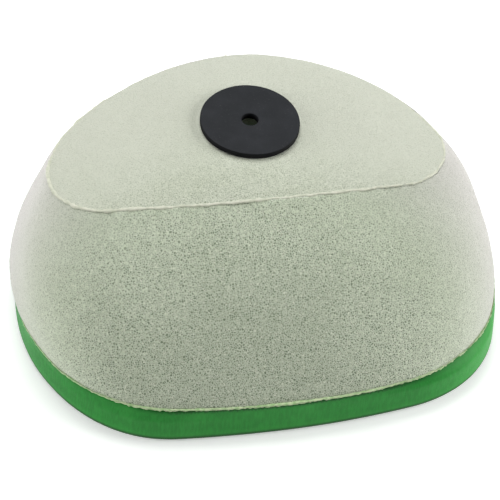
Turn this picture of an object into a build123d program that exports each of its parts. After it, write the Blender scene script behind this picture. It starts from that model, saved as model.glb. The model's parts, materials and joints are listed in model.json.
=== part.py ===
from build123d import *

import os
from dataclasses import dataclass, replace
from math import asin, cos, degrees, hypot, radians, sin, tan

# Two-stage foam air filter for an off-road motorcycle, in millimetres.
# Origin: middle of the sealing face. +X runs along the long side, +Y to the rear, +Z up
# through the bolt hole to the washer.

# Heights
FLANGE_HEIGHT = 19.0        # dense foam ring that seals against the airbox
BOND_THICKNESS = 0.8        # adhesive layers between foam pieces
SHOULDER_HEIGHT = 78.0      # plane where the wall meets the top panel
CROWN_RISE = 2.5            # the top panel swells by this much in its middle

# Foam stages
OUTER_FOAM = 8.0            # coarse foam
INNER_FOAM = 8.0            # fine foam
WALL_BULGE = 0.42           # how far the wall stands proud of a straight taper
FLANGE_STEP = 1.2           # the flange stands proud of the wall's foot
FLANGE_EDGE_RADIUS = 3.0

# Bolt and washer
BOLT_X, BOLT_Y = 0.0, 24.0
HOLE_RADIUS = 4.0           # clearance for an M6 retaining bolt and its sleeve
WASHER_RADIUS = 24.0
WASHER_THICKNESS = 3.0
WASHER_EDGE_RADIUS = 0.5
WASHER_BOND = 0.3
WASHER_BOND_RADIUS = 22.5
PLATEAU_SCALE = 0.5         # flat part of the crown, as a share of the panel's outline

# Adhesive beads
TOP_BEAD_RADIUS = 1.1
INNER_BEAD_RADIUS = 1.0
BASE_SQUEEZE_OUT = 1.0      # adhesive pressed out past the wall's foot


@dataclass
class Outline:
    """A D-shaped closed curve of tangent arcs, flat to the front and round to the rear.

    back_end is the direction, from +X towards +Y, where the back arc hands over to the side arc,
    and front_turn is how far the front arc turns from its middle to its end, both in degrees.
    """
    half_width: float
    front_y: float
    back_y: float
    side_radius: float
    corner_radius: float
    back_end: float
    front_turn: float
    centre_x: float = 0.0

    def arcs(self):
        """The right half from the front: each arc's centre, radius and start and end directions."""
        back_end = radians(self.back_end)
        front_end = radians(self.front_turn - 90)
        # Two tangent arcs have their centres on the line through their joint.
        side_x = self.half_width - self.side_radius
        back_radius = self.side_radius + side_x / cos(back_end)
        back_y = self.back_y - back_radius
        side_y = back_y + side_x * tan(back_end)
        # The corner arc starts where it will meet the front arc at front_y.
        lean = radians(self.front_turn) / 2
        drop = self.front_y + self.corner_radius - side_y + side_x * tan(lean)
        reach = self.side_radius - self.corner_radius
        corner_start = lean + asin(cos(lean) * drop / reach)
        corner_x = side_x + reach * cos(corner_start)
        corner_y = side_y + reach * sin(corner_start)
        stretch = corner_x / cos(front_end)
        front_radius = self.corner_radius + stretch
        front_y = corner_y - stretch * sin(front_end)
        turns = [degrees(angle) for angle in (front_end, corner_start, back_end)]
        return [
            (0.0, front_y, front_radius, -90, turns[0]),
            (corner_x, corner_y, self.corner_radius, turns[0], turns[1]),
            (side_x, side_y, self.side_radius, turns[1], turns[2]),
            (0.0, back_y, back_radius, turns[2], 90),
        ]

    def wire(self, z):
        """The closed curve at height z, starting at the left end of the front arc."""
        front, corner, side, back = self.arcs()
        spans = [front[:3] + (-180 - front[4], front[4]), corner, side]
        spans.append(back[:3] + (back[3], 180 - back[3]))
        for x, y, radius, start, end in (side, corner):
            spans.append((-x, y, radius, 180 - end, 180 - start))

        edges = []
        for x, y, radius, start, end in spans:
            points = []
            for angle in (start, (start + end) / 2, end):
                across = self.centre_x + x + radius * cos(radians(angle))
                points.append((across, y + radius * sin(radians(angle)), z))
            edges.append(ThreePointArc(*points))
        return Wire(edges)

    def face(self, z):
        return Face(self.wire(z))

    def inset(self, front, side, back):
        """A smaller outline, moved in by its own distance at the front, sides and back."""
        return replace(
            self,
            half_width=self.half_width - side,
            front_y=self.front_y + front,
            back_y=self.back_y - back,
            corner_radius=self.corner_radius - side,
            side_radius=self.side_radius - side,
        )

    def scaled(self, factor, about_x, about_y):
        """The same outline, scaled about a point."""
        return Outline(
            self.half_width * factor,
            about_y + (self.front_y - about_y) * factor,
            about_y + (self.back_y - about_y) * factor,
            self.side_radius * factor,
            self.corner_radius * factor,
            self.back_end,
            self.front_turn,
            about_x + (self.centre_x - about_x) * factor,
        )


# The foot of the wall, and the shoulder, which leans 4 mm to the left.
FOOT = Outline(118, -98.5, 98.5, 107, 67, 81, 8.2)
SHOULDER = Outline(99, -24.5, 76, 99, 25, 65, 2.4, centre_x=-4)

# Foam thickness is square to the wall, so level insets grow with the wall's slope.
WALL_RISE = SHOULDER_HEIGHT - FLANGE_HEIGHT
FRONT_INSET = hypot(SHOULDER.front_y - FOOT.front_y, WALL_RISE) / WALL_RISE
SIDE_INSET = hypot(FOOT.half_width - SHOULDER.half_width, WALL_RISE) / WALL_RISE
BACK_INSET = hypot(FOOT.back_y - SHOULDER.back_y, WALL_RISE) / WALL_RISE

TOTAL_FOAM = OUTER_FOAM + INNER_FOAM
WALL_FOOT = FLANGE_HEIGHT + BOND_THICKNESS
CROWN_TOP = SHOULDER_HEIGHT + CROWN_RISE
WASHER_FACE = CROWN_TOP + WASHER_BOND
TOP_OF_PART = WASHER_FACE + WASHER_THICKNESS


def wall_outline(z):
    """The outside of the wall at height z."""
    height = (z - FLANGE_HEIGHT) / WALL_RISE
    share = height - WALL_BULGE * height * (1 - height)
    blended = {}
    for name, low in vars(FOOT).items():
        blended[name] = low + (getattr(SHOULDER, name) - low) * share
    return Outline(**blended)


def inner_outline(z, depth):
    """The wall's outline at height z, at a foam depth below its outside."""
    insets = (depth * FRONT_INSET, depth * SIDE_INSET, depth * BACK_INSET)
    return wall_outline(z).inset(*insets)


def wall_body(depth):
    """Everything inside the wall at a foam depth, from its foot to that depth below the shoulder."""
    top = SHOULDER_HEIGHT - depth
    heights = [WALL_FOOT + (top - WALL_FOOT) * step / 3 for step in range(4)]
    return Solid.make_loft([inner_outline(z, depth).wire(z) for z in heights])


def mitred_panel(depth, thickness):
    """A level panel whose edge runs at a mitre from one foam depth to the next."""
    upper = SHOULDER_HEIGHT - depth
    lower = upper - thickness
    sections = [
        inner_outline(lower, depth + thickness).wire(lower),
        inner_outline(upper, depth).wire(upper),
    ]
    return Solid.make_loft(sections, ruled=True)


def crown():
    """The slight swelling of the top panel, level under the washer."""
    middle = (1 + PLATEAU_SCALE) / 2
    sections = [
        SHOULDER.wire(SHOULDER_HEIGHT),
        SHOULDER.scaled(middle, BOLT_X, BOLT_Y).wire(SHOULDER_HEIGHT + 0.75 * CROWN_RISE),
        SHOULDER.scaled(PLATEAU_SCALE, BOLT_X, BOLT_Y).wire(CROWN_TOP),
    ]
    return Solid.make_loft(sections)


def bead(outline, z, radius):
    """A round bead of adhesive that follows an outline."""
    path = outline.wire(z)
    section = Plane(origin=path @ 0, z_dir=path % 0) * Circle(radius)
    return sweep(section, path=path, transition=Transition.ROUND)


def ring(outer, inner, low, high):
    """A level ring between two outlines."""
    band = outer.face(low) - inner.face(low)
    return extrude(band, amount=high - low, dir=(0, 0, 1))


def upright(radius, low, high):
    """A cylinder on the bolt's axis."""
    return Pos(BOLT_X, BOLT_Y, low) * Cylinder(
        radius, high - low, align=(Align.CENTER, Align.CENTER, Align.MIN)
    )


def closing_plate():
    """The space that the closing joints take, where the ends of each foam strip meet at the rear."""
    plate = Box(BOND_THICKNESS, FOOT.back_y, SHOULDER_HEIGHT)
    return Pos(SHOULDER.centre_x / 2, SHOULDER.back_y, SHOULDER_HEIGHT / 2) * plate


def sealing_flange(cavity):
    """Dense foam ring with soft outer edges."""
    outer = FOOT.inset(-FLANGE_STEP, -FLANGE_STEP, -FLANGE_STEP)
    flange = ring(outer, cavity, 0, FLANGE_HEIGHT)
    lower = flange.faces().sort_by(Axis.Z)[0].outer_wire().edges()
    upper = flange.faces().sort_by(Axis.Z)[-1].outer_wire().edges()
    return fillet(lower + upper, FLANGE_EDGE_RADIUS)


def bolt_washer():
    """Rubber washer with softened outer edges."""
    washer = upright(WASHER_RADIUS, WASHER_FACE, TOP_OF_PART)
    washer = fillet(washer.edges().filter_by(GeomType.CIRCLE), WASHER_EDGE_RADIUS)
    return washer - upright(HOLE_RADIUS, WASHER_FACE, TOP_OF_PART)


def build():
    """All pieces, by name."""
    bolt_hole = upright(HOLE_RADIUS, 0, TOP_OF_PART)
    plate = closing_plate()
    outer_space = wall_body(0)
    inner_space = wall_body(OUTER_FOAM)
    cage_space = wall_body(TOTAL_FOAM)
    top_bead = bead(SHOULDER, SHOULDER_HEIGHT, TOP_BEAD_RADIUS)
    cage_corner = SHOULDER_HEIGHT - TOTAL_FOAM
    inner_bead = bead(inner_outline(cage_corner, TOTAL_FOAM), cage_corner, INNER_BEAD_RADIUS)

    outer_panel = mitred_panel(0, OUTER_FOAM)
    inner_panel = mitred_panel(OUTER_FOAM, INNER_FOAM)
    outer_wall = outer_space - inner_space - outer_panel - top_bead
    inner_wall = inner_space - cage_space - inner_panel - inner_bead

    cavity = inner_outline(WALL_FOOT, TOTAL_FOAM)
    squeezed = FOOT.inset(-BASE_SQUEEZE_OUT, -BASE_SQUEEZE_OUT, -BASE_SQUEEZE_OUT)
    return {
        "outer_top_panel": (outer_panel + crown()) - top_bead - bolt_hole,
        "outer_side_wall": outer_wall - plate,
        "outer_closing_seam": outer_wall & plate,
        "top_seam_bead": top_bead,
        "inner_top_panel": inner_panel - inner_bead - bolt_hole,
        "inner_side_wall": inner_wall - plate,
        "inner_closing_seam": inner_wall & plate,
        "inner_seam_bead": inner_bead,
        "sealing_flange": sealing_flange(cavity),
        "base_bond": ring(squeezed, cavity, FLANGE_HEIGHT, WALL_FOOT),
        "bolt_washer": bolt_washer(),
        "washer_bond": upright(WASHER_BOND_RADIUS, CROWN_TOP, WASHER_FACE) - bolt_hole,
    }


os.makedirs("parts", exist_ok=True)
for node, solid in build().items():
    export_step(solid, f"parts/{node}.step")
    print(f"{node:20s} {solid.volume / 1000:8.1f} cm3  solids {len(solid.solids())}")
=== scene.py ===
"""Looks of a two-stage foam air filter, built round its packed CAD frame. Lengths are in metres."""

import json
from dataclasses import dataclass, replace
from math import asin, cos, hypot, pi, radians, sin, tan

import bmesh
import bpy
import numpy as np
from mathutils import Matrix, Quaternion, Vector, noise


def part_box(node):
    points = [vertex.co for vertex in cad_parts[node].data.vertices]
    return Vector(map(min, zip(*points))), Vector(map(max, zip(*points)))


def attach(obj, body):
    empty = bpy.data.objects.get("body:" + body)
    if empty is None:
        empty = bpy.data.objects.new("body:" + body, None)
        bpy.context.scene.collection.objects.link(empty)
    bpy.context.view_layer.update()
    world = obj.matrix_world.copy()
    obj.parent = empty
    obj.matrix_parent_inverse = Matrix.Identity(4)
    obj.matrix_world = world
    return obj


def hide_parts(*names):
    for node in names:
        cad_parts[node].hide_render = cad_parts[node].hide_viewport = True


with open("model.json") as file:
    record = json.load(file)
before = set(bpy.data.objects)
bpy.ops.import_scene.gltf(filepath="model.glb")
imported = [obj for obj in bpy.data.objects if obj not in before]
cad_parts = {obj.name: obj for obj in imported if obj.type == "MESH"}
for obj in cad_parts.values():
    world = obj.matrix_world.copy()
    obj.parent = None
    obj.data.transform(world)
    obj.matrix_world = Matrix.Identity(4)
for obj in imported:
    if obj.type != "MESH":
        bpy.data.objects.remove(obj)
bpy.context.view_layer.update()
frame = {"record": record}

MM = 0.001

# Heights and radii, from the frame
bond_low, bond_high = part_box("base_bond")
bead_low, bead_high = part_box("top_seam_bead")
inner_bead_low, inner_bead_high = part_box("inner_seam_bead")
washer_low, washer_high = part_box("bolt_washer")
FLANGE_HEIGHT = bond_low.z
WALL_FOOT = bond_high.z
SHOULDER_HEIGHT = (bead_low.z + bead_high.z) / 2
CROWN_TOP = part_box("outer_top_panel")[1].z
TOP_BEAD_RADIUS = (bead_high.z - bead_low.z) / 2
INNER_BEAD_RADIUS = (inner_bead_high.z - inner_bead_low.z) / 2
CAGE_CORNER = (inner_bead_low.z + inner_bead_high.z) / 2
FOAM_SEAM_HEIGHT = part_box("inner_top_panel")[1].z

bore = next(m for m in frame["record"]["mounts"] if m["name"] == "bolt_hole")
BOLT = np.array(bore["pos_m"][:2])
HOLE_RADIUS = bore["dims"]["r_mm"] * MM
WASHER_RADIUS = (washer_high.x - washer_low.x) / 2
FOAM_HOLE_RADIUS = HOLE_RADIUS + 2.5 * MM   # the foam opens a little round the bolt

# Foam and glue
OUTER_FOAM = SHOULDER_HEIGHT - FOAM_SEAM_HEIGHT
TOTAL_FOAM = SHOULDER_HEIGHT - CAGE_CORNER
WALL_EDGE = WALL_FOOT - 0.4 * MM    # the outer wall sinks a little into its glue
WALL_BULGE = 0.42           # how far the wall stands proud of a straight taper
PLATEAU_SCALE = 0.5         # flat part of the crown, as a share of the panel's outline
CLOSING_GAP = 0.4 * MM      # half the width of the closing seams

# The foam's painted light and shade change with the distance from the middle of its front face, over
# these ranges.
FRONT = (-0.016, -0.095, 0.031)
PAINTED_FRONT_SHADE = (20 * MM, 90 * MM)         # painted shade: darkest within the first distance, and none past the second
CELL_SHADE_FADE = (65 * MM, 134 * MM)   # painted shade in the cells: full within the first distance, and mostly faded past the second
PAINTED_SHEEN_SPAN = (90 * MM, 150 * MM)      # painted sheen and light: starts past the first distance, and is full past the second


@dataclass
class Outline:
    """A D-shaped closed curve of tangent arcs, flat to the front and round to the rear.

    back_end is the direction, from +X towards +Y, where the back arc hands over to the side arc,
    and front_turn is how far the front arc turns from its middle to its end, both in degrees.
    """
    half_width: float
    front_y: float
    back_y: float
    side_radius: float
    corner_radius: float
    back_end: float
    front_turn: float
    centre_x: float = 0.0

    def arcs(self):
        """The right half from the front: each arc's centre, radius and start and end directions."""
        back_end = radians(self.back_end)
        front_end = radians(self.front_turn - 90)
        side_x = self.half_width - self.side_radius
        back_radius = self.side_radius + side_x / cos(back_end)
        back_y = self.back_y - back_radius
        side_y = back_y + side_x * tan(back_end)
        lean = radians(self.front_turn) / 2
        drop = self.front_y + self.corner_radius - side_y + side_x * tan(lean)
        reach = self.side_radius - self.corner_radius
        corner_start = lean + asin(cos(lean) * drop / reach)
        corner_x = side_x + reach * cos(corner_start)
        corner_y = side_y + reach * sin(corner_start)
        stretch = corner_x / cos(front_end)
        front_radius = self.corner_radius + stretch
        front_y = corner_y - stretch * sin(front_end)
        return np.array([
            (0, front_y, front_radius, -pi / 2, front_end),
            (corner_x, corner_y, self.corner_radius, front_end, corner_start),
            (side_x, side_y, self.side_radius, corner_start, back_end),
            (0, back_y, back_radius, back_end, pi / 2),
        ])

    def length(self):
        """The way round."""
        arcs = self.arcs()
        return 2 * (arcs[:, 2] * (arcs[:, 4] - arcs[:, 3])).sum()

    def around(self, share):
        """Points and outward directions at shares of the way round, anticlockwise from the rear."""
        arcs = self.arcs()
        lengths = arcs[:, 2] * (arcs[:, 4] - arcs[:, 3])
        ends = np.cumsum(lengths)
        share = np.asarray(share) % 1
        along = abs(share - 0.5) * 2 * ends[-1]
        index = np.searchsorted(ends[:-1], along)
        x, y, radius, start, _ = arcs[index].T
        angle = start + (along - (ends - lengths)[index]) / radius
        side = np.where(share < 0.5, -1, 1)
        outward = np.stack([side * np.cos(angle), np.sin(angle)], axis=-1)
        centre = np.stack([self.centre_x + side * x, y], axis=-1)
        return centre + radius[:, None] * outward, outward

    def inset(self, front, side, back):
        """A smaller outline, moved in by its own distance at the front, sides and back."""
        return replace(
            self,
            half_width=self.half_width - side,
            front_y=self.front_y + front,
            back_y=self.back_y - back,
            corner_radius=self.corner_radius - side,
            side_radius=self.side_radius - side,
        )


# The foot of the wall, and the shoulder, which leans to the left.
FOOT = Outline(0.118, -0.0985, 0.0985, 0.107, 0.067, 81, 8.2)
SHOULDER = Outline(0.099, -0.0245, 0.076, 0.099, 0.025, 65, 2.4, centre_x=-0.004)
SEAM_X = SHOULDER.centre_x / 2

WALL_RISE = SHOULDER_HEIGHT - FLANGE_HEIGHT
FRONT_INSET = hypot(SHOULDER.front_y - FOOT.front_y, WALL_RISE) / WALL_RISE
SIDE_INSET = hypot(FOOT.half_width - SHOULDER.half_width, WALL_RISE) / WALL_RISE
BACK_INSET = hypot(FOOT.back_y - SHOULDER.back_y, WALL_RISE) / WALL_RISE


def wall_outline(z, depth=0.0):
    """The wall's outline at height z, at a foam depth below its outside."""
    height = (z - FLANGE_HEIGHT) / WALL_RISE
    share = height - WALL_BULGE * height * (1 - height)
    blended = {}
    for name, low in vars(FOOT).items():
        blended[name] = low + (getattr(SHOULDER, name) - low) * share
    return Outline(**blended).inset(depth * FRONT_INSET, depth * SIDE_INSET, depth * BACK_INSET)


# ---- Meshes from grids of points: columns run anticlockwise round the part, rows run over it ----

def at_height(points, z):
    """Plan points with a height added."""
    return np.column_stack([points, np.broadcast_to(z, len(points))])


def normals(grid):
    """Outward unit normals of a grid whose rows run upwards or inwards."""
    normal = np.cross(np.gradient(grid, axis=1), np.gradient(grid, axis=0))
    return normal / np.linalg.norm(normal, axis=-1, keepdims=True)


def bumps(points, pitch, seed):
    """Smooth noise, from about -1 to 1, with bumps about a pitch apart."""
    shift = Vector((seed, 2 * seed, 3 * seed))
    values = [noise.noise(Vector(point) + shift) for point in points.reshape(-1, 3) / pitch]
    return np.array(values).reshape(points.shape[:-1])


def foam_surface(grid, sway, grain, seed):
    """A grid with the slow sway of a soft sheet and the rough grain of cut foam."""
    height = sway * (bumps(grid, 38 * MM, seed) + 0.35 * bumps(grid, 11 * MM, seed + 1))
    height += grain * (bumps(grid, 1.9 * MM, seed + 2) + 0.6 * bumps(grid, 1.1 * MM, seed + 3))
    return grid + normals(grid) * height[..., None]


def eased(value, low, high):
    """A value's share of the way from low to high, eased at both ends."""
    share = np.clip((value - low) / (high - low), 0, 1)
    return share * share * (3 - 2 * share)


# The soft body has settled unevenly. Each local move has a place in plan and the reach over which it
# fades, in metres, and how far it goes in plan, in millimetres.
FOOT_MOVES = [((0.078, -0.086), 0.034, (-1.7, 2.2))]        # right front corner, inwards
FLANGE_MOVES = [
    ((-0.072, -0.090), 0.035, (-0.7, -1.4)),                # left front corner, outwards
    ((0.090, -0.080), 0.030, (0.6, -0.7)),                  # right front corner, outwards
]
SHOULDER_MOVES = [
    ((-0.090, 0.026), 0.017, (-1.2, 0.8)),                  # left end, outwards
    ((-0.056, 0.061), 0.020, (0.4, -0.8)),                  # left of the rear, inwards
    ((0.012, 0.078), 0.024, (0.0, 1.9)),                    # rear, outwards
]
UPPER_WALL_MOVES = [((0.095, -0.002), 0.024, (1.5, 0.0))]   # below the shoulder's right end, outwards

# The other moves run over the whole part. They are in millimetres, at HALF_SPAN from the middle.
HALF_SPAN = 100 * MM        # about half the part's width and depth
FULL_HEIGHT = 80 * MM       # about the part's height
FOOT_SKEW, TOP_SKEW = -4.0, 1.0         # how far the rear stands to the right
FOOT_TWIST, TOP_TWIST = -2.1, 4.0       # how far the rear's right end stands to the rear
FLANGE_NARROWING = 2.4      # at the sides and rear
LEFT_SWELL = 1.2            # the wall's left side, at mid-height
LEFT_FOOT_SWELL = 0.6       # and at its foot
RIGHT_STAND_IN = 0.8        # the wall's foot along the right side
LEAN = (-4.2, 1.2)          # how far the top rises to the right and to the rear, round the bolt
FLANGE_BEND = FLANGE_HEIGHT - 6 * MM    # above here the flange's own moves fade out


def moved(grid, moves):
    """The sum of local moves at a grid's points."""
    total = np.zeros(grid.shape[:-1] + (2,))
    for place, reach, move in moves:
        distance = np.linalg.norm(grid[..., :2] - place, axis=-1)
        total += np.exp(-((distance / reach) ** 2))[..., None] * move
    return total


def settled_flange(grid):
    """The flange's own moves: it spreads at the front corners, and narrows at the sides and rear."""
    z = grid[..., 2]
    plan = grid[..., :2] / HALF_SPAN
    spread = np.interp(z, (FLANGE_BEND, FLANGE_HEIGHT), (1, 0))
    narrowed = np.interp(z, (FLANGE_BEND, FLANGE_HEIGHT, WALL_EDGE), (1, 0.4, 0))
    narrowed = FLANGE_NARROWING * narrowed * eased(plan @ (0.1, 1), -0.6, -0.05)
    return spread[..., None] * moved(grid, FLANGE_MOVES) - narrowed[..., None] * plan


def settled_wall(grid):
    """The wall's own moves: its foot stands in at the right, and its left side swells."""
    z = grid[..., 2]
    across = grid[..., 0] / HALF_SPAN
    foot = np.interp(z, (FLANGE_HEIGHT - 4 * MM, FLANGE_HEIGHT, SHOULDER_HEIGHT), (0, 1, 0))
    rise = np.clip((z - FLANGE_HEIGHT) / WALL_RISE, 0, 1)
    swell = LEFT_FOOT_SWELL * foot + LEFT_SWELL * 4 * rise * (1 - rise)
    swell = swell * eased(-across, 0.85, 1.1)
    stand_in = RIGHT_STAND_IN * foot * eased(across, 0.6, 1.1)
    sideways = np.stack([-swell - stand_in, np.zeros_like(z)], axis=-1)
    return sideways + foot[..., None] * moved(grid, FOOT_MOVES)


def settled_shoulder(grid):
    """The moves of the shoulder and of the wall just under it."""
    z = grid[..., 2]
    shoulder = eased(z, 48 * MM, 76 * MM)[..., None]
    upper_wall = (eased(z, 50 * MM, 64 * MM) * eased(-z, -78 * MM, -70 * MM))[..., None]
    return shoulder * moved(grid, SHOULDER_MOVES) + upper_wall * moved(grid, UPPER_WALL_MOVES)


def settled(grid):
    """The grid as the soft body has settled, with its foot skewed and its top turned against it.

    The top also leans to the right round the bolt, and the washer with it.
    """
    across, along = np.moveaxis(grid[..., :2] / HALF_SPAN, -1, 0)
    up = grid[..., 2] / FULL_HEIGHT
    skew = (FOOT_SKEW + (TOP_SKEW - FOOT_SKEW) * up) * along
    twist = (FOOT_TWIST + (TOP_TWIST - FOOT_TWIST) * up) * across * along
    plan = np.stack([skew, twist], axis=-1)
    plan += settled_flange(grid) + settled_wall(grid) + settled_shoulder(grid)

    spoke = grid[..., :2] - BOLT
    beside_bolt = eased(-np.linalg.norm(spoke, axis=-1), -60 * MM, -26 * MM)
    lean = eased(grid[..., 2], 40 * MM, 70 * MM) * beside_bolt * (spoke @ LEAN) / HALF_SPAN
    return grid + np.concatenate([plan, lean[..., None]], axis=-1) * MM


def piece(name, grid, finish, slot, *nodes, ends_meet=True):
    """A closed mesh over a grid whose last row meets its first. It stands for the CAD nodes."""
    grid = settled(grid)
    rows, columns = grid.shape[:2]
    numbers = np.arange(rows * columns).reshape(rows, columns)
    numbers = np.vstack([numbers, numbers[:1]])
    caps = []
    if ends_meet:
        numbers = np.hstack([numbers, numbers[:, :1]])
    else:
        caps = [numbers[:-1, 0].tolist(), numbers[:-1, -1][::-1].tolist()]
    quads = np.stack([numbers[:-1, :-1], numbers[:-1, 1:], numbers[1:, 1:], numbers[1:, :-1]], axis=-1)
    mesh = bpy.data.meshes.new(name)
    mesh.from_pydata(grid.reshape(-1, 3).tolist(), [], quads.reshape(-1, 4).tolist() + caps)
    shape = bmesh.new()
    shape.from_mesh(mesh)
    bmesh.ops.recalc_face_normals(shape, faces=shape.faces)
    shape.to_mesh(mesh)
    shape.free()
    mesh.shade_smooth()
    mesh.materials.append(finish)
    made = bpy.data.objects.new(name, mesh)
    bpy.context.scene.collection.objects.link(made)
    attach(made, "root")
    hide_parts(*nodes)
    return made


# ---- Materials ----

class Finish:
    """A material: one Principled surface, and the nodes that feed it."""

    def __init__(self, name, constants):
        self.material = bpy.data.materials.new(name)
        self.material.use_nodes = True
        self.tree = self.material.node_tree
        self.surface = self.tree.nodes["Principled BSDF"]
        for socket, value in constants.items():
            self.surface.inputs[socket].default_value = value
        self.place = self.node("TexCoord").outputs["Object"]

    def node(self, kind, inputs=(), **settings):
        """Adds a node. Its inputs are values, or other nodes' outputs, by name or by place."""
        made = self.tree.nodes.new("ShaderNode" + kind)
        for setting, value in settings.items():
            setattr(made, setting, value)
        for socket, value in dict(inputs).items():
            self.feed(made.inputs[socket], value)
        return made

    def feed(self, socket, value):
        """Links or sets one socket."""
        if isinstance(value, bpy.types.NodeSocket):
            self.tree.links.new(value, socket)
        else:
            socket.default_value = value

    def math(self, operation, *values):
        """A Math node's output."""
        return self.node("Math", enumerate(values), operation=operation).outputs[0]

    def noise(self, pitch, detail=2.0, stretch=(1, 1, 1)):
        """Noise from 0 to 1 with features about a pitch apart, longer along the axes stretched."""
        scale = [1 / (pitch * factor) for factor in stretch]
        place = self.node("VectorMath", {0: self.place, 1: scale}, operation="MULTIPLY").outputs[0]
        return self.node("TexNoise", {"Vector": place, "Scale": 1.0, "Detail": detail}).outputs[0]

    def span(self, value, low, high, to_low=0.0, to_high=1.0):
        """A value's range stretched smoothly to another."""
        inputs = {0: value, 1: low, 2: high, 3: to_low, 4: to_high}
        return self.node("MapRange", inputs, interpolation_type="SMOOTHSTEP").outputs[0]

    def mix(self, share, first, second):
        """A colour between two colours."""
        inputs = {0: share, 6: first, 7: second}
        return self.node("Mix", inputs, data_type="RGBA").outputs[2]

    def bump(self, height, distance, strength=1.0):
        """Relief on the surface."""
        inputs = {"Height": height, "Distance": distance, "Strength": strength}
        normal = self.node("Bump", inputs).outputs[0]
        self.feed(self.surface.inputs["Normal"], normal)

    def colour(self, value):
        """The surface's colour."""
        self.feed(self.surface.inputs["Base Color"], value)

    def roughness(self, value):
        """The surface's roughness."""
        self.feed(self.surface.inputs["Roughness"], value)


def rgb(red, green, blue):
    """A colour with full alpha."""
    return (red, green, blue, 1.0)


def foam_finish(name, pitch, strut, strut_tint, painted_sheen, pore, depths, sheen, sheen_tint):
    """Open-cell foam: struts round darker cells, with a soft bloom at grazing angles.

    The struts' two colours lie in blotches. Painted shade darkens the front face, painted sheen and
    light pale the sides and rear, and painted glints fleck the struts near the front. The cells are dark
    with the colour seen through them and with painted shade. depths are how strong that painted shade is
    at the front, and far from it, where it fades out.
    """
    foam = Finish(name, {
        "Sheen Weight": sheen, "Sheen Roughness": 0.55, "Sheen Tint": sheen_tint,
        "Specular IOR Level": 0.25,
    })
    warp = foam.node("TexNoise", {"Vector": foam.place, "Scale": 0.6 / pitch}).outputs["Color"]
    shift = foam.node("VectorMath", {0: warp, 1: (0.5, 0.5, 0.5)}, operation="SUBTRACT").outputs[0]
    shift = foam.node("VectorMath", {0: shift, "Scale": 1.3 * pitch}, operation="SCALE").outputs[0]
    place = foam.node("VectorMath", {0: foam.place, 1: shift}, operation="ADD").outputs[0]
    cell = {"Vector": place, "Scale": 1 / pitch}
    edge = foam.node("TexVoronoi", cell, feature="DISTANCE_TO_EDGE").outputs["Distance"]
    tone = foam.node("TexVoronoi", cell, feature="F1").outputs["Color"]
    tone = foam.node("SeparateColor", {0: tone}).outputs[0]
    uneven = foam.span(tone, 0.0, 1.0, 0.55, 1.0)
    hollow = foam.math("MULTIPLY", foam.span(edge, 0.04, 0.24), uneven)
    blotch = foam.span(foam.noise(24 * MM, 3), 0.3, 0.7)
    away = foam.node("VectorMath", {0: foam.place, 1: FRONT}, operation="DISTANCE").outputs["Value"]
    # Painted shade in the cells, strong at the front and fading far from it. The pore colour also holds
    # the green foam seen through the cells.
    dark = foam.math("MULTIPLY", hollow, foam.span(away, *CELL_SHADE_FADE, *depths))
    body = foam.mix(blotch, strut, strut_tint)
    # Painted shade: the struts darken towards the middle of the front face.
    shaded_strut = rgb(*(0.75 * value for value in strut_tint[:3]))
    body = foam.mix(foam.span(away, *PAINTED_FRONT_SHADE, 0.6, 0.0), body, shaded_strut)
    # Painted sheen and light: far from the front, at the sides and rear, the struts fade to a sheen
    # colour.
    body = foam.mix(foam.span(away, *PAINTED_SHEEN_SPAN), body, painted_sheen)
    # Painted glints: pale specks on the struts, strongest near the front.
    glints = foam.span(foam.noise(0.8 * pitch, 1), 0.5, 0.72, 0.0, 0.5)
    glints = foam.math("MULTIPLY", glints, foam.span(away, *CELL_SHADE_FADE, *depths))
    body = foam.mix(glints, body, rgb(*(min(1.45 * value, 0.85) for value in strut[:3])))
    foam.colour(foam.mix(dark, body, pore))
    foam.roughness(foam.span(hollow, 0, 1, 0.8, 0.95))
    relief = foam.math("SUBTRACT", foam.noise(0.4 * pitch, 1), foam.math("MULTIPLY", hollow, 2.2))
    foam.bump(relief, 0.15 * pitch, 0.5)
    return foam.material


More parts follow.
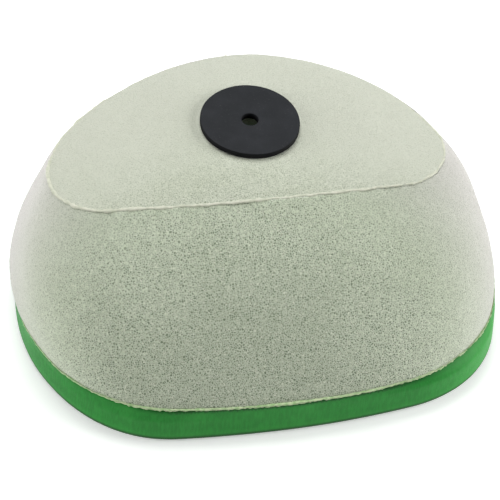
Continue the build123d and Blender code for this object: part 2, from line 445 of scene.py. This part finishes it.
def flange_finish():
    """Dense green foam with a satin skin: fine grain, upright streaks, and painted shadow along its
    upper and lower edges.

    The painted shadow under the glue line is darkest along the front, and painted light makes the skin
    paler low down and at the right.
    """
    skin = Finish("flange_foam", {"Specular IOR Level": 0.2})
    right, _, height = skin.node("SeparateXYZ", {0: skin.place}).outputs
    grain = skin.noise(0.5 * MM, 2)
    streaks = skin.noise(1.0 * MM, 3, (1, 1, 6))
    blotch = skin.noise(22 * MM, 3)
    deep = rgb(0.015, 0.197, 0.025)
    mid = rgb(0.019, 0.250, 0.031)
    # This pale green serves for worn blotches and for painted light.
    worn_and_lit = rgb(0.050, 0.380, 0.060)
    # The dark green of the painted shadow along the flange's edges.
    dark_tone = rgb(0.008, 0.060, 0.012)
    body = skin.mix(skin.span(streaks, 0.35, 0.68), deep, mid)
    body = skin.mix(skin.math("MULTIPLY", skin.span(blotch, 0.45, 0.8), 0.5), body, worn_and_lit)
    # Painted light from the floor: the skin is paler low down.
    body = skin.mix(skin.span(height, 1.5 * MM, 8 * MM, 0.5, 0.0), body, worn_and_lit)
    # Painted light: the skin is paler at the right.
    body = skin.mix(skin.span(right, 60 * MM, 110 * MM, 0.0, 0.5), body, worn_and_lit)
    ragged = skin.math("ADD", height, skin.span(streaks, 0.3, 0.7, -0.6 * MM, 0.6 * MM))
    # Painted shadow under the glue line: darkest along the front, faint at the sides.
    dark_share = skin.span(skin.math("ABSOLUTE", right), 45 * MM, 85 * MM, 0.85, 0.2)
    upper = skin.span(ragged, FLANGE_HEIGHT - 2.4 * MM, FLANGE_HEIGHT - 0.5 * MM, 0.0, dark_share)
    # Painted shadow along the rounded lower edge, where the flange meets the floor.
    lower = skin.span(height, 2.6 * MM, 4.6 * MM, 0.85, 0.0)
    skin.colour(skin.mix(skin.math("MAXIMUM", upper, lower), body, dark_tone))
    skin.roughness(skin.span(grain, 0.3, 0.7, 0.42, 0.58))
    skin.bump(skin.math("ADD", grain, skin.math("MULTIPLY", streaks, 0.5)), 0.08 * MM, 0.4)
    return skin.material


def glue_finish(name, pale, dark_tone):
    """Cured adhesive: satin, lumpy, and darker in places, with stains from what it holds."""
    glue = Finish(name, {"Specular IOR Level": 0.4})
    dark_share = glue.span(glue.noise(2.2 * MM, 4), 0.35, 0.7)
    glue.colour(glue.mix(dark_share, pale, dark_tone))
    lumps = glue.noise(0.9 * MM, 3)
    glue.roughness(glue.span(lumps, 0.3, 0.7, 0.45, 0.7))
    glue.bump(lumps, 0.25 * MM, 0.6)
    return glue.material


def rubber_finish():
    """Black sheet rubber: matte and faintly dusty, with a fine grain and painted shade on its sides."""
    rubber = Finish("washer_rubber", {"Specular IOR Level": 0.12})
    cloud = rubber.span(rubber.noise(9 * MM, 4), 0.35, 0.7)
    dust = rubber.span(rubber.noise(0.7 * MM, 2), 0.62, 0.8)
    body = rubber.mix(cloud, rgb(0.020, 0.022, 0.025), rgb(0.030, 0.032, 0.036))
    body = rubber.mix(rubber.math("MULTIPLY", dust, 0.35), body, rgb(0.09, 0.09, 0.085))
    # Painted shade: faces that turn away from up, the washer's sides most, are darkened to near black.
    facing_up = rubber.node("SeparateXYZ", {0: rubber.node("TexCoord").outputs["Normal"]}).outputs[2]
    shaded_side = rubber.span(facing_up, 0.4, 0.9, 0.8, 0.0)
    rubber.colour(rubber.mix(shaded_side, body, rgb(0.004, 0.004, 0.005)))
    rubber.roughness(rubber.span(cloud, 0, 1, 0.62, 0.8))
    rubber.bump(rubber.noise(0.35 * MM, 2), 0.05 * MM, 0.5)
    return rubber.material


COARSE_FOAM = foam_finish(
    "coarse_foam", 0.95 * MM, rgb(0.595, 0.665, 0.505), rgb(0.550, 0.620, 0.461),
    painted_sheen=rgb(0.556, 0.544, 0.504), pore=rgb(0.14, 0.185, 0.11),
    depths=(0.95, 0.28), sheen=0.6, sheen_tint=rgb(1, 0.97, 0.98))
# A lit copy of the coarse foam for the top panel: lighter cells, with less painted shade, and a paler
# painted rear.
LIT_TOP_FOAM = foam_finish(
    "coarse_foam_top", 0.95 * MM, rgb(0.605, 0.64, 0.523), rgb(0.565, 0.605, 0.478),
    painted_sheen=rgb(0.60, 0.625, 0.52), pore=rgb(0.22, 0.27, 0.17),
    depths=(1.0, 0.25), sheen=0.5, sheen_tint=rgb(1, 1, 1))
FINE_FOAM = foam_finish(
    "fine_foam", 0.65 * MM, rgb(0.13, 0.40, 0.15), rgb(0.10, 0.34, 0.12),
    painted_sheen=rgb(0.12, 0.38, 0.14), pore=rgb(0.015, 0.09, 0.02),
    depths=(0.8, 0.8), sheen=0.2, sheen_tint=rgb(0.6, 1, 0.65))
FLANGE_FOAM = flange_finish()
SEAM_GLUE = glue_finish("seam_adhesive", rgb(0.68, 0.69, 0.57), rgb(0.55, 0.58, 0.45))
BASE_GLUE = glue_finish("base_adhesive", rgb(0.50, 0.60, 0.36), rgb(0.26, 0.44, 0.18))
RUBBER = rubber_finish()


# ---- Pieces ----

def wall_rows(depth, heights, columns):
    """Rows of points on the wall at a foam depth, from one side of the closing seam to the other."""
    rows = []
    for z in heights:
        line = wall_outline(z, depth)
        turn = line.length()
        seam = (line.centre_x - SEAM_X) / turn
        gap = CLOSING_GAP / turn
        points, _ = line.around(np.linspace(seam + gap, 1 + seam - gap, columns))
        rows.append(at_height(points, z))
    return np.array(rows)


def tucked(grid, top, bottom, amount, reach):
    """A wall grid whose upper and lower edges pull in towards their glue lines."""
    from_top = np.exp(-abs(top - grid[..., 2]) / reach)
    from_bottom = np.exp(-abs(grid[..., 2] - bottom) / reach)
    return grid - normals(grid) * (amount * (from_top + from_bottom))[..., None]


def outer_side_wall():
    """The coarse foam strip that wraps round the sides."""
    columns = 800
    outside = wall_rows(0, np.linspace(WALL_EDGE, SHOULDER_HEIGHT, 92), columns)
    outside = tucked(outside, SHOULDER_HEIGHT, WALL_FOOT, 0.12 * MM, 1.8 * MM)
    outside = foam_surface(outside, 0.35 * MM, 0.1 * MM, seed=3)
    inside = wall_rows(OUTER_FOAM, np.linspace(FOAM_SEAM_HEIGHT, WALL_FOOT, 4), columns)
    grid = np.vstack([outside, inside])
    made = piece("outer_foam_wall", grid, COARSE_FOAM, "coarse_foam", "outer_side_wall", ends_meet=False)


def inner_side_wall():
    """The fine foam strip inside it, whose inner face looks into the cage space."""
    columns = 520
    outside = wall_rows(OUTER_FOAM, np.linspace(WALL_FOOT, FOAM_SEAM_HEIGHT, 4), columns)
    inside = wall_rows(TOTAL_FOAM, np.linspace(CAGE_CORNER, WALL_FOOT, 48), columns)
    inside = foam_surface(inside, 0.3 * MM, 0.1 * MM, seed=13)
    grid = np.vstack([outside, inside])
    made = piece("inner_foam_wall", grid, FINE_FOAM, "fine_foam", "inner_side_wall", ends_meet=False)


def panel_rows(outline, columns, shares):
    """Plan points from the foam's bolt hole, at share 0, to an outline, at share 1."""
    edge, _ = outline.around(np.arange(columns) / columns)
    spoke = edge - BOLT
    distance = np.linalg.norm(spoke, axis=1, keepdims=True)
    direction = spoke / distance
    wide = distance - FOAM_HOLE_RADIUS
    rows = [BOLT + direction * (FOAM_HOLE_RADIUS + wide * share) for share in shares]
    return np.array(rows), distance


def outer_top_panel():
    """The crowned coarse foam panel, with its edge rolled down to the seam."""
    columns = 720
    under, _ = panel_rows(wall_outline(FOAM_SEAM_HEIGHT, OUTER_FOAM), columns, (0, 1))
    plan, reach = panel_rows(SHOULDER, columns, np.linspace(1, 0, 104))
    from_bolt = np.linalg.norm(plan - BOLT, axis=-1)
    slope = np.clip((from_bolt / reach.T - PLATEAU_SCALE) / (1 - PLATEAU_SCALE), 0, 1)
    height = CROWN_TOP - (CROWN_TOP - SHOULDER_HEIGHT) * slope**2
    height -= 0.1 * MM * np.exp((from_bolt - reach.T) / (2.0 * MM))
    lip = np.exp(-((from_bolt - WASHER_RADIUS) / (1.2 * MM)) ** 2)
    height += 0.25 * MM * lip
    top = np.concatenate([plan, height[..., None]], axis=-1)
    top = foam_surface(top, 0.25 * MM, 0.05 * MM, seed=23)
    bottom = np.array([at_height(row, FOAM_SEAM_HEIGHT) for row in under])
    grid = np.vstack([bottom, top])
    made = piece("outer_foam_top", grid, LIT_TOP_FOAM, "coarse_foam", "outer_top_panel")


def inner_top_panel():
    """The fine foam panel under it, seen from inside the cage space."""
    columns = 400
    under, _ = panel_rows(wall_outline(CAGE_CORNER, TOTAL_FOAM), columns, np.linspace(0, 1, 52))
    over, _ = panel_rows(wall_outline(FOAM_SEAM_HEIGHT, OUTER_FOAM), columns, (1, 0))
    bottom = np.array([at_height(row, CAGE_CORNER) for row in under])
    bottom = foam_surface(bottom, 0.2 * MM, 0.1 * MM, seed=33)
    top = np.array([at_height(row, FOAM_SEAM_HEIGHT) for row in over])
    made = piece("inner_foam_top", np.vstack([bottom, top]), FINE_FOAM, "fine_foam", "inner_top_panel")


def bead(name, outline, z, radius, node, seed):
    """A seam's glue bead: uneven, not quite straight, and slighter towards the rear and right."""
    columns = 760
    line, outward = outline.around(np.arange(columns) / columns)
    path = at_height(line, z)
    size = radius * (0.6 + 0.25 * bumps(path, 5 * MM, seed) + 0.3 * bumps(path, 1.6 * MM, seed + 1))
    rear = np.interp(line[:, 1], (outline.front_y, outline.back_y), (0.0, 1.0))
    right = eased(line[:, 0], -0.02, 0.06)
    size *= (1 - 0.45 * rear) * (1 - 0.25 * right)
    drift = 0.4 * bumps(path, 14 * MM, seed + 2) + 0.35 * bumps(path, 4 * MM, seed + 4)
    drift = MM * (drift - 0.25 - 0.3 * right)
    lift = MM * (0.3 * bumps(path, 7 * MM, seed + 3) - 0.1 - 0.45 * rear)
    rows = []
    for angle in np.linspace(0, 2 * pi, 14, endpoint=False):
        out = drift + 1.3 * size * cos(angle)
        up = z + lift + 0.85 * size * sin(angle)
        rows.append(at_height(line + outward * out[:, None], up))
    return piece(name, np.array(rows), SEAM_GLUE, "seam_adhesive", node)


def closing_seam(name, depth, thickness, node, seed):
    """The glue joint where a foam strip's two ends meet at the rear, with a low ridge outside."""
    top = SHOULDER_HEIGHT - depth
    heights = np.linspace(WALL_FOOT, top, 90)
    columns = []
    for z in heights:
        face = wall_outline(z, depth).back_y
        back = wall_outline(z, depth + thickness).back_y
        uneven = bumps(np.array([[SEAM_X, face, z]]), 3 * MM, seed)[0]
        wide = CLOSING_GAP * (1.7 + 0.8 * uneven)
        proud = face + (0.25 + 0.35 * uneven) * MM
        section = [
            (-CLOSING_GAP, back), (-CLOSING_GAP, face - 1 * MM), (-wide, face - 0.1 * MM),
            (-0.5 * wide, proud), (0.5 * wide, proud), (wide, face - 0.1 * MM),
            (CLOSING_GAP, face - 1 * MM), (CLOSING_GAP, back),
        ]
        columns.append([(SEAM_X + x, y, z) for x, y in section])
    grid = np.array(columns).transpose(1, 0, 2)
    return piece(name, grid, SEAM_GLUE, "seam_adhesive", node, ends_meet=False)


def sealing_flange():
    """The dense foam ring: it flares to a soft lower edge and has a crisp cut upper edge."""
    columns = 620
    share = np.arange(columns) / columns
    line, outward = FOOT.around(share)
    cavity, inward = wall_outline(WALL_FOOT, TOTAL_FOAM).around(share)
    lower_edge = 3.0 * MM
    flare = 1.2 * MM
    turn = np.linspace(-pi / 2, 0, 9)
    profile = [(flare + lower_edge * (cos(a) - 1), lower_edge * (1 + sin(a))) for a in turn]
    for z in np.linspace(lower_edge, FLANGE_HEIGHT - 0.6 * MM, 22)[1:]:
        climb = (z - lower_edge) / (FLANGE_HEIGHT - lower_edge)
        profile.append((flare - 1.1 * MM * climb**1.4, z))
    profile += [(-0.2 * MM, FLANGE_HEIGHT - 0.15 * MM), (-0.9 * MM, FLANGE_HEIGHT)]
    outer = np.array([at_height(line + outward * out, z) for out, z in profile])
    sway = 0.22 * MM * bumps(outer, 30 * MM, 43) + 0.07 * MM * bumps(outer, 2.4 * MM, 44)
    z = outer[..., 2]
    fade = np.clip(z / lower_edge, 0, 1) * np.clip((FLANGE_HEIGHT - z) / MM, 0, 1)
    outer = outer + normals(outer) * (sway * fade)[..., None]
    soft = 1.2 * MM
    hollow = [(soft, FLANGE_HEIGHT), (0, FLANGE_HEIGHT - soft), (0, soft), (soft, 0)]
    inner = np.array([at_height(cavity + inward * out, z) for out, z in hollow])
    made = piece("flange_ring", np.vstack([outer, inner]), FLANGE_FOAM, "flange_foam", "sealing_flange")


def base_bond():
    """The glue layer under the foam: a ragged bead along the front, tucked in at the sides and rear."""
    columns = 1100
    share = np.arange(columns) / columns
    line, outward = FOOT.around(share)
    cavity, inward = wall_outline(WALL_FOOT, TOTAL_FOAM).around(share)
    path = at_height(line, FLANGE_HEIGHT)
    slow = bumps(path, 13 * MM, 53)
    quick = bumps(path, 1.5 * MM, 54)
    tucked_in = eased(line @ (0.1, 1), -45 * MM, -27 * MM)
    out = MM * (0.25 + 0.15 * slow + 0.4 * quick - 1.1 * tucked_in)
    drop = MM * (0.1 + 0.15 * slow + 0.8 * bumps(path, 1.1 * MM, 55))
    climb = MM * (-0.15 + 0.15 * slow + 0.35 * bumps(path, 2.3 * MM, 56))
    middle = (FLANGE_HEIGHT + WALL_FOOT) / 2
    section = [
        (-3 * MM, FLANGE_HEIGHT), (-0.2 * MM, FLANGE_HEIGHT - 0.3 * drop),
        (0.6 * out, FLANGE_HEIGHT - drop), (out, FLANGE_HEIGHT - 0.5 * drop), (1.1 * out, middle),
        (0.9 * out, WALL_FOOT + 0.5 * climb), (0.4 * out, WALL_FOOT + climb),
        (-0.6 * MM, WALL_FOOT + 0.7 * climb), (-3 * MM, WALL_FOOT),
    ]
    rows = [at_height(line + outward * np.broadcast_to(o, columns)[:, None], z) for o, z in section]
    rows += [at_height(cavity - inward * 0.2 * MM, z) for z in (WALL_FOOT, FLANGE_HEIGHT)]
    return piece("base_glue_line", np.array(rows), BASE_GLUE, "base_adhesive", "base_bond")


def bolt_washer():
    """The rubber washer, cut a little unevenly, with softened edges."""
    columns = 240
    angle = np.arange(columns) / columns * 2 * pi
    direction = np.stack([np.cos(angle), np.sin(angle)], axis=-1)
    around = at_height(direction * 30 * MM, 0)
    uneven = 0.22 * MM * bumps(around, 26 * MM, 63) + 0.06 * MM * bumps(around, 5 * MM, 64)
    low, high = washer_low.z, washer_high.z
    edge = 0.45 * MM
    turn = np.linspace(0, pi / 2, 6)
    lower = [(WASHER_RADIUS - edge * (1 - sin(a)), low + edge * (1 - cos(a))) for a in turn]
    upper = [(WASHER_RADIUS - edge * (1 - cos(a)), high - edge * (1 - sin(a))) for a in turn]
    face = [(r, high) for r in np.linspace(WASHER_RADIUS - 1.5 * MM, HOLE_RADIUS + 1.5 * MM, 12)]
    hole = [
        (HOLE_RADIUS + 0.3 * MM, high), (HOLE_RADIUS + 0.05 * MM, high - 0.3 * MM),
        (HOLE_RADIUS, (low + high) / 2), (HOLE_RADIUS, low),
    ]
    rows = []
    for radius, z in lower + upper + face + hole:
        share = np.clip((radius - HOLE_RADIUS) / (WASHER_RADIUS - HOLE_RADIUS), 0, 1)
        reach = radius + uneven * share
        rows.append(at_height(BOLT + direction * reach[:, None], z))
    return piece("rubber_washer", np.array(rows), RUBBER, "washer_rubber", "bolt_washer")


def washer_bond():
    """The thin glue patch under the washer, which stops short of the hole."""
    columns = 120
    low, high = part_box("washer_bond")
    angle = np.arange(columns) / columns * 2 * pi
    direction = np.stack([np.cos(angle), np.sin(angle)], axis=-1)
    uneven = 0.5 * MM * bumps(at_height(direction * 20 * MM, 0), 6 * MM, 113)
    rows = []
    outer, inner = (high.x - low.x) / 2 - 0.5 * MM, FOAM_HOLE_RADIUS + 1.5 * MM
    for radius, z in [(inner, low.z), (outer, low.z), (outer, high.z), (inner, high.z)]:
        rows.append(at_height(BOLT + direction * (radius + uneven)[:, None], z))
    return piece("washer_glue", np.array(rows), SEAM_GLUE, "seam_adhesive", "washer_bond")


# ---- Camera, light and floor ----

CAMERA_DISTANCE = 0.9888
CAMERA_ELEVATION = 46.79
CAMERA_TURN = 14.95         # to the left of the front
CAMERA_ROLL = 5.14
CAMERA_LENS = 143.2
CAMERA_AIM = Vector((0.0021, 0.0093, 0.0089))
FLOOR_GLOW = 0.40
COVERED = (70 * MM, 90 * MM)    # the floor starts to glow, and glows fully, at these radii


def add_camera():
    """A long lens above the left front."""
    data = bpy.data.cameras.new("camera")
    data.lens = CAMERA_LENS
    camera = bpy.data.objects.new("camera", data)
    bpy.context.scene.collection.objects.link(camera)
    level = CAMERA_DISTANCE * cos(radians(CAMERA_ELEVATION))
    camera.location = (
        -level * sin(radians(CAMERA_TURN)),
        -level * cos(radians(CAMERA_TURN)),
        CAMERA_DISTANCE * sin(radians(CAMERA_ELEVATION)),
    )
    camera.rotation_mode = "QUATERNION"
    look = (CAMERA_AIM - camera.location).to_track_quat("-Z", "Y")
    camera.rotation_quaternion = look @ Quaternion((0, 0, 1), radians(CAMERA_ROLL))
    bpy.context.scene.camera = camera


def add_softbox(name, place, size, power):
    """A square area light that faces the object."""
    data = bpy.data.lights.new(name, "AREA")
    data.shape = "SQUARE"
    data.size = size
    data.energy = power
    light = bpy.data.objects.new(name, data)
    bpy.context.scene.collection.objects.link(light)
    light.location = place
    light.rotation_mode = "QUATERNION"
    light.rotation_quaternion = (-Vector(place)).to_track_quat("-Z", "Y")


def add_floor():
    """A pale floor that glows a little, except where the filter covers it."""
    bpy.ops.mesh.primitive_plane_add(size=6)
    floor = bpy.context.active_object
    floor.name = "floor"
    paper = Finish("floor_paper", {"Specular IOR Level": 0.1})
    fibre = paper.noise(3 * MM, 3)
    paper.colour(paper.mix(fibre, rgb(0.90, 0.91, 0.905), rgb(0.92, 0.925, 0.92)))
    paper.roughness(0.9)
    paper.surface.inputs["Emission Color"].default_value = rgb(1, 1, 1)
    spread = paper.node("VectorMath", {0: paper.place}, operation="LENGTH").outputs["Value"]
    glow = paper.span(spread, *COVERED, 0.0, FLOOR_GLOW)
    paper.feed(paper.surface.inputs["Emission Strength"], glow)
    floor.data.materials.append(paper.material)


def add_sky(strength):
    """Even white light from all round."""
    world = bpy.data.worlds.new("studio")
    world.use_nodes = True
    world.node_tree.nodes["Background"].inputs["Color"].default_value = rgb(1, 1, 1)
    world.node_tree.nodes["Background"].inputs["Strength"].default_value = strength
    bpy.context.scene.world = world


add_camera()
bpy.context.scene.view_settings.view_transform = "Standard"
add_floor()
add_sky(strength=0.11)
add_softbox("top_softbox", (-0.05, 0.7, 1.4), size=1.0, power=17.5)
add_softbox("left_softbox", (-1.2, -0.05, 0.5), size=0.8, power=8)
add_softbox("right_softbox", (1.2, -0.2, 0.5), size=0.8, power=13)

outer_side_wall()
outer_top_panel()
inner_side_wall()
inner_top_panel()
cage_outline = wall_outline(CAGE_CORNER, TOTAL_FOAM)
inner_foam = TOTAL_FOAM - OUTER_FOAM
bead("top_seam_glue", SHOULDER, SHOULDER_HEIGHT, TOP_BEAD_RADIUS, "top_seam_bead", seed=73)
bead("inner_seam_glue", cage_outline, CAGE_CORNER, INNER_BEAD_RADIUS, "inner_seam_bead", seed=83)
closing_seam("outer_closing_glue", 0, OUTER_FOAM, "outer_closing_seam", seed=93)
closing_seam("inner_closing_glue", OUTER_FOAM, inner_foam, "inner_closing_seam", seed=103)
sealing_flange()
base_bond()
bolt_washer()
washer_bond()
